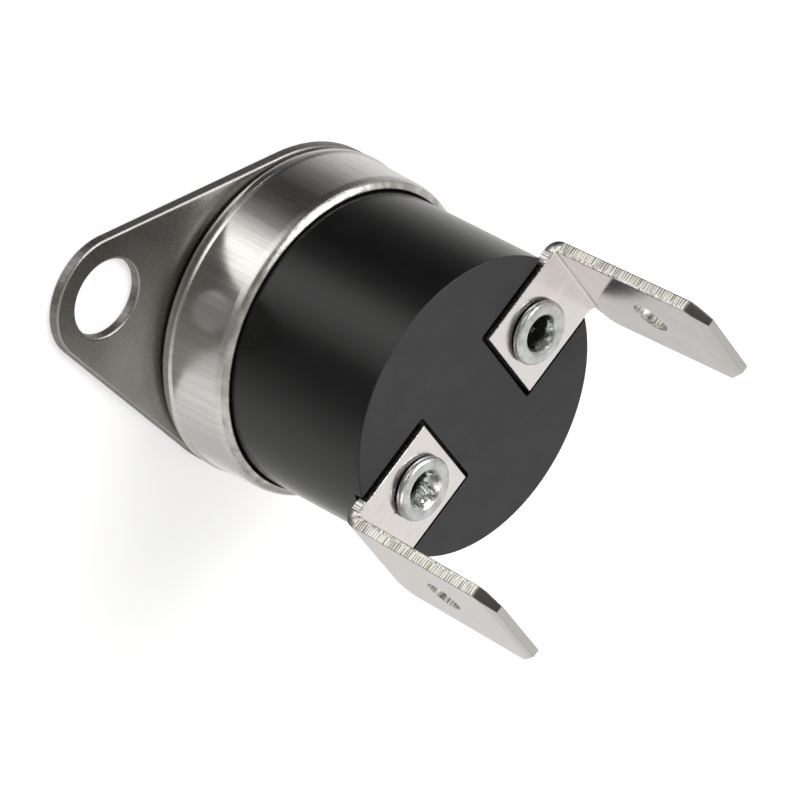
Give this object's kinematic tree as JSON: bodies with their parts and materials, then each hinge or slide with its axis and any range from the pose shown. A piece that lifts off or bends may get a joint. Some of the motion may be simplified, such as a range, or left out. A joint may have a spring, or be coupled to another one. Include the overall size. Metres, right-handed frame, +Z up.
{
  "type": "bimetal disc temperature switch",
  "caption": "Snap-action bimetal temperature switch: black moulded body crimped in a bright metal cup, with an eared mounting bracket and upright quick-connect tabs.",
  "frame": {"origin": "centre of the flat sensing face, on the body's axis", "axes": "+Z up the body's axis towards the terminals, +X through the bracket's two ear holes"},
  "size_m": [0.0318, 0.0183, 0.0233],
  "materials": {
    "bracket_steel": "satin plated steel sheet",
    "cup_steel": "bright drawn sheet with fine draw marks",
    "black_phenolic": "black moulded phenolic, satin",
    "tinned_brass": "tin-plated brass strip",
    "rivet_steel": "plated steel",
    "bimetal": "rolled bimetal strip",
    "brown_phenolic": "fibre-filled moulding",
    "ceramic": "unglazed ceramic",
    "spring_copper": "rolled spring copper alloy",
    "contact_silver": "silver contact alloy",
    "brass": "rolled brass strip"
  },
  "bodies": {
    "switch_body": {"mounting_bracket": "bracket_steel", "disc_cup": "cup_steel", "housing": "black_phenolic", "arm_terminal": "tinned_brass", "plate_terminal": "tinned_brass", "arm_rivet": "rivet_steel", "plate_rivet": "rivet_steel", "pin_guide": "brown_phenolic", "fixed_contact_plate": "brass", "fixed_contact": "contact_silver", "arm_washer": "brass", "plate_washer": "brass"},
    "disc": {"bimetal_disc": "bimetal"},
    "pin": {"transfer_pin": "ceramic"},
    "arm": {"contact_arm": "spring_copper", "moving_contact": "contact_silver"}
  },
  "joints": [
    {"name": "disc_snap", "type": "slide", "parent": "switch_body", "child": "disc", "axis": [0, 0, 1], "range_m": [0, 0.0004], "stiffness_N_per_m": 50, "springref_m": -0.0001},
    {"name": "pin_lift", "type": "slide", "parent": "switch_body", "child": "pin", "axis": [0, 0, 1], "range_m": [0, 0.0004]},
    {"name": "arm_lift", "type": "hinge", "parent": "switch_body", "child": "arm", "pos_m": [0.00245, 0.00407, 0.009], "axis": [-0.8572, 0.515, 0], "range_deg": [0, 5]}
  ],
  "couplings": [
    {"joint": "pin_lift", "follows": "disc_snap", "ratio": 1},
    {"joint": "arm_lift", "follows": "disc_snap", "rad_per_m": 212.8}
  ]
}
